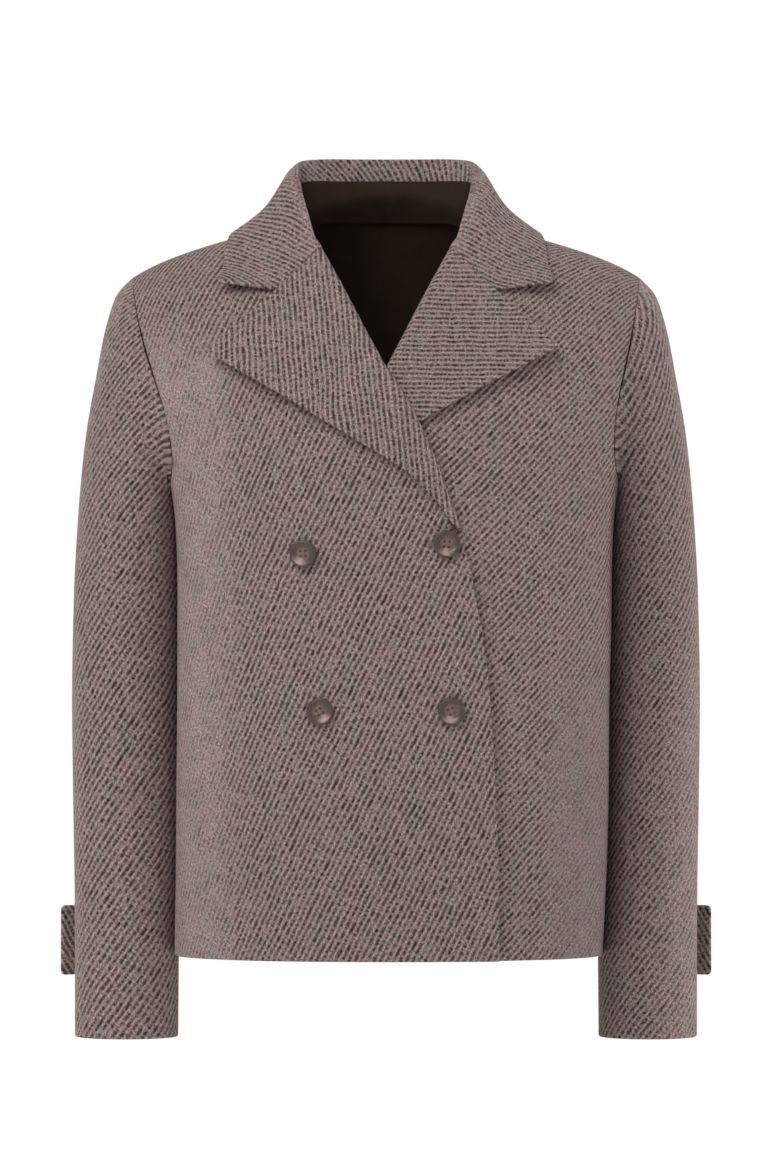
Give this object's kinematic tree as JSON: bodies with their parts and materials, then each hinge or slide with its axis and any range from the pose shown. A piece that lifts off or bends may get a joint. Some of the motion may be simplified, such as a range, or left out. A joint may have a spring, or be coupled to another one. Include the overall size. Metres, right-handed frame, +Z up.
{
  "type": "double-breasted jacket",
  "caption": "Short double-breasted jacket with notched lapels, turned-down collar, long sleeves and cuff straps, worn as an open hollow form.",
  "frame": {"origin": "between the two points where the shoulder seams meet the neck, where the wearer's shoulders carry the jacket", "axes": "+Z up the wearer's body, -Y out of the front, +X to the wearer's left"},
  "size_m": [0.5369, 0.245, 0.7201],
  "materials": {
    "wool_twill": "matte, brushed wool twill with bold diagonal ribs",
    "lining": "smooth dark lining",
    "horn": "satin horn look"
  },
  "bodies": {
    "root": {"back": "wool_twill", "front_right": "wool_twill", "front_left": "wool_twill", "sleeve_right": "wool_twill", "sleeve_left": "wool_twill", "collar": "wool_twill", "lapel_right": "wool_twill", "lapel_left": "wool_twill", "cuff_strap_right": "wool_twill", "cuff_strap_left": "wool_twill", "neck_facing": "lining", "lining_back": "lining", "button_1": "horn", "button_2": "horn", "button_3": "horn", "button_4": "horn"}
  },
  "joints": []
}
